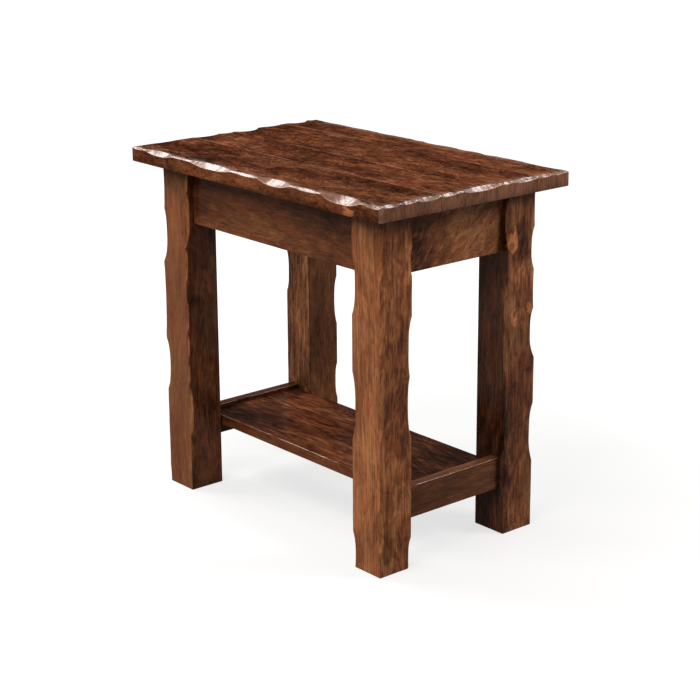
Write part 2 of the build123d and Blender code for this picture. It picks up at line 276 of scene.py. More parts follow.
lacquer_roughness = 0.16
noise_roughness = 0.58
noise_spread = 15.0         # brings a noise's spread to about 1
sway_lumps = (2.5, 5.0, 5.0)        # a metre along, across and into the grain
sway_seeds = (3.0, 8.0)
bare_sway = 0.002           # how far the grain of hidden pieces wanders sideways, in metres
grain_relief = 0.00006      # height of the open grain, in metres
plate_relief = 0.00003
saw_turn = 2.5              # half of what rift-sawn takes to turn into flat-sawn wood, in millimetres
band_height = 1.3
knot_darkness = 0.26        # tone that a full outline, ring or heart of a knot takes off
cloud_unevenness = 0.12     # how far a noise moves a cloud's edge, in radii
planed_corner = (-184.0, -198.0)    # y where the planed front corners' shine starts and is full

# Shares of the colours that lie over the stain where their masks are full
border_wear = 0.35
seam_glint = 0.3
edge_glint = 0.75
end_grain_share = 0.80
joint_pitch = 0.55

# Layers of figure.  Each has its weight in tone on rift-sawn and on flat-sawn faces, its lumps a
# metre along, across and into the grain, its detail, its distortion, and how many radians a lump's
# rise turns through where the layer shows as contour bands.
figures = {
    "top": [
        (0.042, 0.042, 4.5, 12, 25, 1, 0, 0),
        (0.054, 0.054, 20, 42, 40, 2, 0.9, 0),
        (0.040, 0.040, 5, 17, 30, 2, 1, 7),
        (0.064, 0.064, 62, 120, 90, 4, 2.2, 0),
        (0.028, 0.028, 40, 520, 260, 2, 0.8, 0),
    ],
    "leg": [
        (0.042, 0.055, 6, 19, 20, 2, 0.5, 0),
        (0.024, 0.040, 2.6, 11, 22, 2, 0.5, 6),
        (0.024, 0.044, 24, 52, 44, 3, 1.8, 0),
        (0.034, 0.026, 5, 340, 150, 3, 0.2, 0),
        (0.022, 0.026, 16, 640, 420, 1, 0.2, 0),
    ],
    "rail": [
        (0.035, 0.035, 4, 14, 14, 1, 0, 0),
        (0.040, 0.040, 14, 50, 50, 3, 1, 0),
        (0.030, 0.030, 5, 22, 22, 2, 0.8, 4.5),
        (0.026, 0.026, 40, 240, 240, 3, 1, 0),
        (0.024, 0.024, 14, 640, 640, 2, 0, 0),
    ],
}

# Other noises: lumps a metre along, across and into the grain, then detail, distortion and seed.
noises = {
    "curl_threads": (55, 90, 90, 2, 1.6, 33),
    "curly_places": (8, 17, 17, 1, 0, 36),
    "flecks": (100, 400, 320, 1, 0, 66),
    "pore_threads": (2.2, 95, 40, 1, 0.3, 44),
    "porous_places": (12, 60, 60, 1, 0, 47),
    "ragged_cuts": (140, 140, 140, 2, 0, 51),
    "pooled_lacquer": (38, 38, 38, 2, 0, 59),
    "uneven_outlines": (30, 90, 90, 2, 0, 21),
    "broken_lines": (45, 90, 90, 2, 0, 83),
    "hue": (9, 34, 34, 2, 0.5, 91),
    "resin": (80, 150, 150, 3, 1, 25),
    "haze": (26, 60, 60, 3, 0.8, 40),
    "seam_gaps": (30, 40, 40, 1, 0, 70),
    "saw_scores": (5, 420, 60, 2, 0, 75),
    "end_streaks": (5, 30, 12, 2, 0, 79),
    "glint_places": (20, 40, 40, 1, 0, 77),
    "open_grain": (14, 520, 520, 3, 0, 61),
    "bare_streaks": (6, 90, 90, 2, 0, 0),
    "bare_fibres": (45, 520, 520, 2, 0, 9),
    "bare_flecks": (170, 760, 380, 1, 0, 19),
    "bare_grain": (20, 600, 600, 2, 0, 61),
}


@dataclass
class Knot:
    """A knot, or a soft dark or resinous patch: an ellipsoid, its place and radii in millimetres."""

    place: tuple
    radii: tuple
    lift: float  # tone that it adds inside
    soft: float = 0.4  # half the width of its edge, in radii
    uneven: float = 0.12  # how far a noise moves that edge, in radii
    amber: float = 0.0  # its share of resin; below 0, what it takes off the knots before it
    outline: float = 0.0  # strength of a broken dark line round it
    ring: float = 0.0  # strength of a dark ring in it
    heart: float = 0.0  # strength of a dark heart
    shade: float = 0.0  # tone that it takes off the wood round it


@dataclass
class Stain:
    """How one board or post is stained and lacquered.

    Tones run from 0 dark to 1 light, lacquer from 0 none to 1 full.  Places are in millimetres.
    """

    figure: str  # which layers of figure it shows
    grain: str  # the axis that its grain runs along
    shift: tuple  # where it is cut out of the endless grain, in metres
    sway: float  # how far its grain wanders sideways, in metres
    curls: float  # tone that light curly threads add
    flecks: float  # tone that small flecks take off
    pores: float  # tone that long pores take off
    veil: float  # lacquer that light wood shows more than dark wood
    lift: float  # tone above one half
    gloss: float = 0.08  # lacquer all over
    contrast: float = 1.0  # weight of the figure
    lean: float = 0.0  # how far the grain leans sideways in a metre
    tint: tuple = (1.0, 1.0, 1.0)  # what its red, green and blue are multiplied by
    centre: tuple = None  # middle of a post in metres, where two faces are rift-sawn
    faces: tuple = ()  # faces with a tone of their own, which on the legs' inner faces is painted shade: axis, place, lift and calm
    clouds: tuple = ()  # soft lighter or darker patches, some of them painted light or shade: place, radii and lift
    knots: tuple = ()
    border: float = 0.0  # lacquer that the rubbed border of the top adds
    seams: tuple = ()  # y of the glued seams
    ends: tuple = ()  # x of the ends that show end grain
    worn_edges: tuple = ()  # arrises with a painted highlight, each given as two planes: axis and place, twice
    facet_gloss: float = 0.0  # lacquer on hewn facets
    facet_lift: float = 0.0  # tone that they add
    facet_wear: float = 0.0  # share of their pale colour
    arris_shade: float = 0.0  # tone that the arrises beside them take off
    arris_glint: float = 0.0  # share of the pale colour on those arrises, a painted highlight


class Timber:
    """The grain of one board or post: a point as distances along, across and into the grain."""

    def __init__(self, finish, grain, shift, sway, lean=0.0):
        self.finish = finish
        self.place = finish.split(finish.add("ShaderNodeTexCoord", output="Object"))
        order = {"x": (0, 1, 2), "y": (1, 0, 2), "z": (2, 0, 1)}[grain]
        steps = [self.place[axis] + offset for axis, offset in zip(order, shift)]
        self.spot = finish.join(*steps)
        wander = [self.lumps(*sway_lumps, seed=seed) * sway + steps[0] * lean for seed in sway_seeds]
        self.spot = finish.join(steps[0], steps[1] + wander[0], steps[2] + wander[1])

    def lumps(self, along, across, depth, detail=1.0, distortion=0.0, seed=0.0):
        """Noise about 0 with a spread of about 1, and so many lumps a metre each way."""
        apart = (seed, seed * 0.7, seed * 1.3)
        scaled = self.finish.vectors("MULTIPLY_ADD", self.spot, (along, across, depth), apart)
        noise = self.finish.add(
            "ShaderNodeTexNoise",
            {"noise_dimensions": "3D"},
            {"Vector": scaled, "Scale": 1.0, "Detail": detail, "Roughness": noise_roughness,
             "Distortion": distortion},
        )
        return (noise - 0.5) * noise_spread

    def noise(self, name):
        """The noise of that name."""
        return self.lumps(*noises[name])

    def patches(self, name, low, high):
        """Soft patches: 0 where the noise of that name is below low, and 1 where it is above high."""
        return self.finish.rise(self.noise(name), low, high)

    def threads(self, name, far, near):
        """Threads where the noise of that name passes 0: 0 farther off than far, 1 within near."""
        return self.finish.rise(abs(self.noise(name)), far, near)

    def near_plane(self, axis, place, reach, fade):
        """1 within reach of a plane across an axis, and 0 past reach + fade, all in millimetres."""
        away = abs(self.place[axis] - place * MM)
        return self.finish.rise(away, (reach + fade) * MM, reach * MM)

    def radii_away(self, place, radii):
        """Distance from a place, counted in a radius for each axis, all in millimetres."""
        place, radii = (tuple(value * MM for value in lengths) for lengths in (place, radii))
        offset = self.finish.vectors("SUBTRACT", self.finish.join(*self.place), place)
        return self.finish.vectors("LENGTH", self.finish.vectors("DIVIDE", offset, radii), output="Value")


def figured_tone(timber, look):
    """Tone of the plain figure, and the finest of its layers alone.

    Each layer is a noise, or the sine of one where it shows as bands, times the look's contrast
    and its own weight.  On a post that weight goes over from its rift-sawn to its flat-sawn value
    where the distance from the centre along x passes the one along y.
    """
    flat_sawn = 1.0
    if look.centre:
        off_x, off_y = (abs(timber.place[axis] - look.centre[axis]) for axis in (0, 1))
        flat_sawn = timber.finish.rise(off_x - off_y, -saw_turn * MM, saw_turn * MM)
    tone = 0.5 + look.lift
    for number, layer in enumerate(figures[look.figure]):
        rift, flat, along, across, depth, detail, distortion, bands = layer
        lumps = timber.lumps(along, across, depth, detail, distortion, seed=5.0 + 7.0 * number)
        if bands:
            lumps = (lumps * bands).sine() * band_height
        weight = flat_sawn * ((flat - rift) * look.contrast) + rift * look.contrast
        tone = lumps * weight + tone
    return tone, lumps


def tone_with_marks(timber, look, tone):
    """Adds curly threads, flecks, pores and the tones of single faces.

    Near a face its lift is added, and calm is the share by which the tone there is drawn back to
    the plain one: below 0, the figure grows stronger instead.
    """
    curls = timber.threads("curl_threads", 0.20, 0.03) * timber.patches("curly_places", 0.3, 1.6)
    pores = timber.threads("pore_threads", 0.30, 0.02) * timber.patches("porous_places", -0.6, 0.8)
    tone = tone + curls * look.curls
    tone = tone - timber.patches("flecks", 0.8, 2.0) * look.flecks
    tone = tone - pores * look.pores
    for axis, place, lift, calm in look.faces:
        face = timber.near_plane(axis, place, 0.4, 0.6)
        tone = tone + face * (lift + (0.5 + look.lift - tone) * calm)
    return tone


def tone_with_knots(timber, look, tone):
    """Adds clouds and knots, and gives the share of amber resin too, or None where there is none.

    Each follows the distance from its middle, counted in its radii and shifted by a noise.  A knot
    is a patch with a line just outside 1 radius, a ring near 0.6 and a heart.
    """
    finish = timber.finish
    uneven = timber.noise("uneven_outlines")
    broken = timber.patches("broken_lines", -1.3, 0.7)
    for place, radii, lift in look.clouds:
        distance = timber.radii_away(place, radii) + uneven * cloud_unevenness
        tone = tone + finish.rise(distance, 1.15, 0.1) * lift
    amber = None
    for knot in look.knots:
        distance = timber.radii_away(knot.place, knot.radii) + uneven * knot.uneven
        patch = finish.rise(distance, 1.0 + knot.soft, 1.0 - knot.soft)
        outline = finish.rise(abs(distance - 1.10), 0.28, 0.06) * knot.outline
        ring = finish.rise(abs(distance - 0.62), 0.20, 0.04) * knot.ring
        heart = finish.rise(distance, 0.46, 0.12) * knot.heart
        shade = finish.rise(distance, 2.6, 1.0) * knot.shade
        tone = tone - shade + patch * (knot.lift + knot.shade)
        tone = tone - (outline * broken + ring + heart) * knot_darkness
        if knot.amber > 0:
            glow = patch * knot.amber * (1 - ring * 0.7) * (1 - heart * 0.8) * (broken * 0.4 + 0.6)
            amber = glow if amber is None else amber.larger(glow)
        elif knot.amber < 0:
            amber = amber * (1 + patch * knot.amber)
    return tone, amber


def stain_colour(timber, look, tone, amber):
    """The stain's colour for a tone, turned redder and yellower in places, with resin over it."""
    finish = timber.finish
    colour = finish.add("ShaderNodeValToRGB", {"stops": stain_stops}, {0: tone})
    red, yellow = (rgb(*(np.array(shade) * look.tint)) for shade in (reddening, yellowing))
    hue = timber.patches("hue", -1.6, 1.6)
    colour = finish.blend(1.0, colour, finish.blend(hue, red, yellow), "MULTIPLY")
    if amber:
        resin = finish.blend(timber.patches("resin", -1.5, 1.5), dark_amber_colour, amber_colour)
        colour = finish.blend(amber, colour, resin)
    return colour


def lay_seams(timber, seams, colour, coat):
    """Paints pale lines along the arrises of glued seams, a painted highlight, and takes the lacquer off
    them, with gaps.
    """
    for place in seams:
        line = timber.near_plane(1, place, 0.8, 1.4) * timber.patches("seam_gaps", -1.2, 0.8)
        # painted highlight: a pale line where the lacquer would catch the light
        colour = timber.finish.blend(line * seam_glint, colour, wear_and_glint_colour)
        coat = coat * (1 - line)
    return colour, coat


def lay_end_grain(timber, look, colour, coat):
    """Lays scored end grain over a board's ends, dark in the joints, with shine at planed corners."""
    finish = timber.finish
    scores = timber.patches("saw_scores", -1.8, 1.8) * 0.42
    streaks = timber.patches("end_streaks", -2.0, 2.0) * 0.40
    cut = finish.blend(scores + streaks + 0.3, pitch_colour, end_grain_colour)
    corner = finish.rise(timber.place[1], planed_corner[0] * MM, planed_corner[1] * MM)
    shine = corner * timber.patches("broken_lines", -1.3, 0.7) * 0.5 + 0.10
    for place in look.ends:
        face = timber.near_plane(0, place, 0.15, 0.35)
        colour = finish.blend(face * end_grain_share, colour, cut)
        for seam in look.seams:
            joint = timber.near_plane(1, seam, 0.5, 0.8) * face
            colour = finish.blend(joint * joint_pitch, colour, pitch_colour)
        coat = coat.larger(face * shine)
    return colour, coat


def paint_edge_glints(timber, edges, colour, coat):
    """Paints pale highlights along arrises, with more lacquer there, broken in places.  An arris is where
    two planes are both near.
    """
    places = timber.patches("glint_places", -2.0, 0.6)
    for first_axis, first_place, second_axis, second_place in edges:
        first = timber.near_plane(first_axis, first_place, 0.3, 0.6)
        edge = first.smaller(timber.near_plane(second_axis, second_place, 0.3, 0.6)) * places
        # painted highlight: the pale colour along the arris
        colour = timber.finish.blend(edge * edge_glint, colour, wear_and_glint_colour)
        coat = coat.larger(edge)
    return colour, coat


def stained_wood(name, look):
    """Brown stain and lacquer over a wood grain.

    A tone, from 0 dark to 1 light, is the sum of the figure, of fine marks, of what single faces
    and hewn facets add, of clouds and of knots, and it picks the stain's colour; some faces and
    clouds are painted shade or painted light.  The top's rubbed border, the painted highlights
    along seams and edges, end grain, and facets with a painted highlight on their arrises lie
    over that colour in turn.  The lacquer is a coat: thin, a little thicker on light wood, and
    thickest where it has pooled on hewn facets.
    """
    finish = Finish(bpy.data.materials.new(name))
    timber = Timber(finish, look.grain, look.shift, look.sway, look.lean)
    tone, finest = figured_tone(timber, look)
    tone = tone_with_marks(timber, look, tone)
    if look.facet_gloss:
        ragged = timber.noise("ragged_cuts")
        facet = finish.rise(finish.painted("hewn") + ragged * 0.06, 0.25, 0.70)
        arris = finish.painted("arris") * finish.rise(ragged, -1.4, 0.6)
        tone = tone + facet * look.facet_lift - arris * look.arris_shade
    tone, amber = tone_with_knots(timber, look, tone)
    colour = stain_colour(timber, look, tone, amber)
    haze = timber.noise("haze")
    coat = finish.rise(haze * 0.06 + tone, 0.5 + look.lift, 0.9 + look.lift) * look.veil + look.gloss
    if look.border:
        rubbed = finish.painted("rim") ** 1.6 * finish.rise(haze + finest * 0.4, -1.6, 1.4)
        colour = finish.blend(rubbed * border_wear, colour, wear_and_glint_colour)
        coat = coat + rubbed * look.border
    colour, coat = lay_seams(timber, look.seams, colour, coat)
    if look.ends:
        colour, coat = lay_end_grain(timber, look, colour, coat)
    colour, coat = paint_edge_glints(timber, look.worn_edges, colour, coat)
    if look.facet_gloss:
        pooled = timber.patches("pooled_lacquer", -1.2, 0.6) * 0.6 + 0.4
        colour = finish.blend(facet * look.facet_wear, colour, facet_colour)
        # painted highlight along the hewn arrises
        colour = finish.blend(arris * look.arris_glint, colour, wear_and_glint_colour)
        coat = coat.larger(facet * pooled * look.facet_gloss).larger(arris * look.facet_gloss * 0.8)
    return finish.close_solid({
        "Base Color": colour,
        "Roughness": 0.55,
        "Specular IOR Level": 0.0,
        "Coat Weight": coat,
        "Coat Roughness": lacquer_roughness,
        "Coat IOR": 1.6,
        "Normal": finish.bump(timber.noise("open_grain"), 0.3, grain_relief),
    })


def bare_wood(name, grain, shift, dark, light, sealer):
    """Unstained wood: long streaks and short flecks between two shades, under a thin sealer."""
    finish = Finish(bpy.data.materials.new(name))
    timber = Timber(finish, grain, shift, bare_sway)
    shade = timber.noise("bare_streaks") * 0.20 + timber.noise("bare_fibres") * 0.12 + 0.5
    colour = finish.blend(shade, dark, light)
    colour = finish.blend(timber.patches("bare_flecks", 0.9, 2.0) * 0.55, colour, dark)
    return finish.close_solid({
        "Base Color": colour,
        "Roughness": 0.62,
        "Specular IOR Level": 0.25,
        "Coat Weight": sealer,
        "Coat Roughness": 0.3,
        "Normal": finish.bump(timber.noise("bare_grain"), 0.3, grain_relief),
    })


def plated_steel(name):
    """Zinc plate on steel: cloudy grey crystals, each with its own shade, a little rough."""
    finish = Finish(bpy.data.materials.new(name))
    spot = finish.add("ShaderNodeTexCoord", output="Object")
    crystals = finish.split(finish.add("ShaderNodeTexVoronoi", None, {"Vector": spot, "Scale": 900.0}, 1))
    cloudy = finish.add("ShaderNodeTexNoise", None, {"Vector": spot, "Scale": 260.0, "Detail": 3.0})
    shade = crystals[0] * 0.35 + cloudy * 0.8
    return finish.close_solid({
        "Base Color": finish.blend(shade, rgb(0.34, 0.35, 0.36), rgb(0.66, 0.67, 0.69)),
        "Metallic": 1.0,
        "Roughness": shade * 0.25 + 0.25,
        "Normal": finish.bump(cloudy, 0.25, plate_relief),
    })


# --- Meshes from numpy surfaces ---------------------------------------------


def make_piece(name, vertices, faces, material, replaced, paint):
    """Puts vertices, faces and numbers painted on the vertices into a piece that rides on the table."""
    mesh = bpy.data.meshes.new(name)
    mesh.from_pydata(vertices.tolist(), [], faces)
    for key, values in paint.items():
        layer = mesh.attributes.new(key, "FLOAT", "POINT")
        layer.data.foreach_set("value", np.ascontiguousarray(values, dtype=np.float32))
    mesh.polygons.foreach_set("use_smooth", np.ones(len(mesh.polygons), dtype=bool))
    mesh.materials.append(material)
    mesh.update()
    piece = add_object(name, mesh)
    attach(piece, "root")
    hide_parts(replaced)


def hewing_depth(place, cuts, land, blunt=2.4):
    """Depth of the hewing along an arris: a shallow land and one scoop for each cut.

    A cut is (middle, length, depth) in millimetres, and its scoop is the depth times one minus
    the distance from the middle, in half lengths, to the power blunt.  The deepest scoop counts.
    """
    depth = np.full_like(place, land * MM)
    for middle, length, deepest in cuts:
        away = np.clip(np.abs(place - middle * MM) / (length * MM / 2), 0, 1)
        depth = np.maximum(depth, (land + (deepest - land) * (1 - away ** blunt)) * MM)
    return depth


def waver(first, second, seed):
    """A smooth wandering between -1 and 1 over two lengths in metres.

    It is the mean of five products of a sine along the first and one along the second, each with
    a drawn phase and a drawn number of radians a metre.
    """
    draw = np.random.default_rng(seed)
    total = np.zeros(np.broadcast(first, second).shape)
    for _ in range(5):
        along, across = draw.uniform(20, 90), draw.uniform(40, 160)
        phase_along, phase_across = draw.uniform(0, 2 * np.pi, 2)
        total = total + np.sin(first * along + phase_along) * np.sin(second * across + phase_across)
    return total / 5


# --- Top --------------------------------------------------------------------

front_edge_cuts = [
    (-304, 30, 2.8), (-243, 76, 5.5), (-98, 110, 6.0), (0, 50, 2.6),
    (69, 80, 7.0), (150, 50, 2.8), (231, 92, 8.5), (306, 38, 3.5),
]
back_edge_cuts = [
    (-272, 42, 2.4), (-206, 46, 2.3), (-118, 50, 2.7), (-33, 26, 2.4), (8, 54, 3.4),
    (84, 40, 3.0), (139, 34, 3.1), (265, 84, 3.4),
]
right_edge_cuts = [
    (-176, 32, 3.4), (-142, 28, 3.0), (-101, 44, 4.2), (-60, 34, 3.2), (10, 78, 5.0),
    (62, 20, 2.8), (104, 54, 4.2), (148, 26, 3.2), (180, 28, 3.0),
]
left_edge_cuts = [
    (-135, 44, 2.6), (-48, 56, 5.2), (-2, 34, 4.4), (40, 56, 9.0), (100, 40, 3.7),
    (160, 44, 6.8), (194, 20, 4.4),
]
top_land = 1.6              # hewing left between the scoops
bevel_slope = math.radians(30)
bevel_softness = 0.35       # over which a bevel eases into what it meets
seam_ease = 0.6
arris_radius = 1.1          # where a bevel turns down into an edge of the top
flat_wander = 0.12          # how far the flat top sinks in its hollows
under_inset = 0.5           # of the underside's rim, in from the edges and up
wall_rows = (0.03, 0.5, 1.0)        # shares of the drop from the rim

chatter_height = 0.26
lump_height = 0.35
rough_sink = 0.3            # how far chatter and lumps sink a bevel as a whole
rough_depth = 3.0           # hewing depth from which a bevel is fully rough
rough_distance = 1.5        # distance from the edge from which it is
facet_fade = 0.25           # depth below the flat at which a point counts as fully hewn
edge_shine = {"right": 0.62, "left": 0.60, "front": 1.0, "back": 0.70}
border_width = 26.0
dull_end = 45.0             # the border isn't rubbed this near the left end

# Grid lines: their spacing, and how far in they lie from a rounded arris and from a glued seam
x_spacing = 1.5
y_spacing = 2.2
arris_turns = np.radians([0, 20, 40, 60])
bevel_lines = np.arange(1.2, 20.0, 0.8)
seam_lines = np.array([0.0, 0.3, 0.6, 1.2])


def edge_lines(start, stop, spacing, rounded_start, rounded_stop):
    """Grid lines from start to stop, closer together at an end that is hewn and rounded."""
    rounded = np.concatenate([arris_radius * MM * (1 - np.cos(arris_turns)), bevel_lines * MM])
    first = rounded if rounded_start else seam_lines * MM
    last = rounded if rounded_stop else seam_lines * MM
    inner = np.arange(start + first[-1] + spacing, stop - last[-1] - spacing / 2, spacing)
    return np.concatenate([start + first, inner, (stop - last)[::-1]])


def bevel_height(distance, depth):
    """Height of a hewn bevel at a distance in from the edge, with its lower arris rounded.

    The bevel's plane falls outwards by the bevel's slope from a line 2 * depth inside the edge,
    and the last half radius before the edge follows a circle that ends upright.
    """
    slope = math.tan(bevel_slope)
    radius = arris_radius * MM
    at_edge = frame_top - 2 * depth * slope
    plane = at_edge + distance * slope
    centre = at_edge + radius * slope - radius / math.cos(bevel_slope)
    inside = np.clip(radius - distance, 0, radius)
    arc = centre + np.sqrt(radius ** 2 - inside ** 2)
    return np.where(distance < radius * (1 - math.sin(bevel_slope)), arc, plane)


def soft_lower(first, second, softness):
    """The lower of two heights, with the corner between them eased over the softness."""
    return (first + second - np.sqrt((first - second) ** 2 + softness ** 2)) / 2


def board_surface(along, across, inwards, front_cuts, back_cuts):
    """Height of a board's upper skin over its grid, and how hewn each point is.

    The height is the lower of the flat top, which wanders a little, and of a bevel along each
    free edge, at that edge's hewing depth.  Chatter across the cuts, which is the size of a sine
    wave along the edge, and broad lumps roughen a bevel.  A glued edge is eased at 45 degrees.
    """
    flat = frame_top - flat_wander * MM * (1 + waver(along * 0.5, across * 0.35, 7))
    height = flat.copy()
    hewn = np.zeros_like(flat)
    edges = [
        ("right", right_edge_cuts, across, 11),
        ("left", left_edge_cuts, across, 12),
        ("front", front_cuts, along, 13),
        ("back", back_cuts, along, 14),
    ]
    for edge, cuts, place, seed in edges:
        if cuts:
            distance = inwards[edge]
            depth = hewing_depth(place, cuts, top_land)
            ripple = np.abs(np.sin(place * 230 + 4 * waver(place, distance, seed)))
            chatter = chatter_height * MM * (0.6 - ripple)
            lumps = lump_height * MM * waver(place * 2.2, distance * 1.5, seed + 20)
            rough = np.clip(depth / (rough_depth * MM), 0, 1)
            rough = rough * np.clip(distance / (rough_distance * MM), 0, 1)
            bevel = bevel_height(distance, depth) + (chatter + lumps - rough_sink * MM) * rough
            cut = np.clip((flat - bevel) / (facet_fade * MM), 0, 1)
            hewn = np.maximum(hewn, edge_shine[edge] * cut)
            height = soft_lower(height, bevel, bevel_softness * MM)
    for edge, cuts in (("front", front_cuts), ("back", back_cuts)):
        if not cuts:
            height = np.minimum(height, frame_top - seam_ease * MM + inwards[edge])
    return height, hewn


def close_board(skin, low, high):
    """Vertices and faces of a closed board below its upper skin.

    The underside is the skin's grid at the board's lowest height, drawn in a little.  Walls of
    three rows drop from the skin's rim to the same inset above the underside's rim.
    """
    rows, columns = skin.shape[:2]
    size = np.array([high.x - low.x, high.y - low.y])
    middle = np.array([(low.x + high.x) / 2, (low.y + high.y) / 2])
    plan = middle + (skin[..., :2] - middle) * (1 - under_inset * MM / size * 2)
    under = np.concatenate([plan, np.full((rows, columns, 1), low.z)], axis=-1)

    number = np.arange(rows * columns).reshape(rows, columns)
    skin_faces = np.stack(
        [number[:-1, :-1], number[1:, :-1], number[1:, 1:], number[:-1, 1:]], axis=-1
    ).reshape(-1, 4)
    under_faces = skin_faces[:, ::-1] + rows * columns
    rim = np.concatenate([number[:, 0], number[-1, 1:], number[-2::-1, -1], number[0, -2:0:-1]])
    rim_points = skin.reshape(-1, 3)[rim]
    drop = np.array([0, 0, low.z + under_inset * MM])
    walls = [rim_points * (1 - share) + rim_points * (1, 1, 0) * share + drop * share
             for share in wall_rows]
    first_wall = 2 * rows * columns
    wall_loops = [first_wall + row * len(rim) + np.arange(len(rim)) for row in range(len(walls))]
    loops = [rim, *wall_loops, rim + rows * columns]
    wall_faces = [
        np.stack([upper, lower, np.roll(lower, -1), np.roll(upper, -1)], axis=-1)
        for upper, lower in zip(loops[:-1], loops[1:])
    ]
    vertices = np.concatenate([skin.reshape(-1, 3), under.reshape(-1, 3), *walls])
    return vertices, np.concatenate([skin_faces, under_faces, *wall_faces])


def make_top_board(name, node, front_cuts, back_cuts, material):
    """One board of the top as a closed skin over a grid of x and y lines.

    Its points carry how hewn they are, how near an edge's arris, falling off over the arris'
    radius, and how near a free edge, falling off over the rubbed border's width.
    """
    low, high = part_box(node)
    x = edge_lines(low.x, high.x, x_spacing * MM, True, True)
    y = edge_lines(low.y, high.y, y_spacing * MM, bool(front_cuts), bool(back_cuts))
    across, along = np.meshgrid(y, x)
    inwards = {
        "left": along - low.x, "right": high.x - along,
        "front": across - low.y, "back": high.y - across,
    }
    height, hewn = board_surface(along, across, inwards, front_cuts, back_cuts)
    skin = np.stack([along, across, height], axis=-1)
    vertices, faces = close_board(skin, low, high)

    free_edges = ["left", "right"] + ["front"] * bool(front_cuts) + ["back"] * bool(back_cuts)
    rim_distance = np.minimum.reduce([inwards[edge] for edge in free_edges])
    arris = np.clip(1.4 - rim_distance / (arris_radius * MM), 0, 1)
    border = np.clip(1 - rim_distance / (border_width * MM), 0, 1) * (along > low.x + dull_end * MM)

    def painted(values):
        return np.concatenate([values.ravel(), np.zeros(len(vertices) - values.size)])

    paint = {"hewn": painted(hewn), "arris": painted(arris), "rim": painted(border)}
    make_piece(name, vertices, faces.tolist(), material, node, paint)


# --- Legs -------------------------------------------------------------------

leg_cuts = {
    "leg_front_left": {
        "outer": [(0, 60, 1.4), (222, 94, 6.8), (345, 130, 2.2), (461, 108, 9.0), (545, 130, 6.2)],
        "long_side": [
            (147, 96, 5.4), (216, 40, 2.6), (267, 44, 2.8), (322, 62, 2.9), (412, 64, 3.5),
            (497, 112, 8.0), (568, 84, 7.0),
        ],
        "end_side": [(90, 120, 6.0), (290, 110, 5.0), (480, 120, 6.0)],
    },
    "leg_front_right": {
        "outer": [(78, 75, 6.0), (272, 90, 6.0), (400, 80, 4.0), (525, 90, 4.5)],
        "long_side": [(22, 78, 4.9), (272, 112, 5.4), (469, 98, 5.4)],
        "end_side": [(17, 72, 4.8), (275, 114, 6.3), (362, 114, 5.5), (505, 46, 3.0)],
    },
    "leg_back_right": {
        "outer": [(167, 102, 5.9), (343, 92, 7.9), (421, 116, 4.2), (483, 88, 8.2), (552, 112, 4.5)],
        "long_side": [(70, 110, 5.0), (260, 120, 6.0), (450, 110, 6.0)],
        "end_side": [(107, 90, 6.0), (235, 60, 1.4), (322, 84, 5.4), (392, 80, 5.0), (536, 70, 5.0)],
    },
    "leg_back_left": {
        "outer": [(100, 120, 6.0), (300, 110, 6.0), (495, 100, 5.0)],
        "long_side": [(133, 68, 4.0), (289, 90, 5.1), (480, 90, 6.0)],
        "end_side": [(60, 80, 5.0), (346, 80, 4.8), (530, 90, 5.0)],
    },
}
leg_land = 0.5
plain_corner = 0.45         # depth of the eased corner that isn't hewn
foot_chamfer = 1.0
foot_row = 2.5              # height of the first of the evenly spaced rows
leg_row_height = 1.6
crease_radius = 1.6         # where a hewn facet meets a sawn face
crease_share = 0.6          # of the hewing depth, which a crease's rounding never passes
full_facet = 2.5            # depth past the land at which a facet counts as fully hewn
cut_wander = 0.25
facet_wander = 0.22
face_wander = 0.16

# Shares of the way along a crease, across a facet and across a sawn face
crease_steps = np.linspace(0, 1, 5)
facet_steps = np.linspace(0, 1, 7)[1:-1]
face_steps = np.linspace(0, 1, 11)[1:-1]


def crease(corner, arriving, leaving, tangent):
    """Points that round the turn at a corner from one direction to another, on a parabola."""
    along = crease_steps[None, :, None]
    return (
        corner[:, None, :]
        - arriving * tangent[:, None, None] * (1 - along) ** 2
        + leaving * tangent[:, None, None] * along ** 2
    )


def leg_corners(cuts, height, half, side_x, side_y):
    """The four corners of a leg's section in turn, each with what it has at every height.

    A corner is its place, the directions in which the outline arrives and leaves, its hewing
    depth, how far before the corner the cut starts, which is the depth times the root of two,
    and how far the rounding of the creases beside the cut reaches.
    """
    corner_name = {
        (side_x, side_y): "outer", (-side_x, side_y): "long_side", (side_x, -side_y): "end_side",
    }
    corners = []
    for turn in range(4):
        rotate = np.linalg.matrix_power(np.array([[0, -1], [1, 0]]), turn)
        corner = rotate @ np.array([1, 1])
        arriving, leaving = rotate @ np.array([0, 1]), rotate @ np.array([-1, 0])
        which = corner_name.get(tuple(int(value) for value in corner))
        if which:
            depth = hewing_depth(height, cuts[which], leg_land, blunt=3.0)
            depth = depth + cut_wander * MM * waver(height * 1.7, turn + side_x + 2 * side_y, 31)
        else:
            depth = np.full_like(height, plain_corner * MM)
        setback = depth * math.sqrt(2)
        tangent = np.minimum(crease_radius * MM * math.tan(math.pi / 8), crease_share * depth)
        corners.append((corner * half, arriving, leaving, depth, setback, tangent))
    return corners


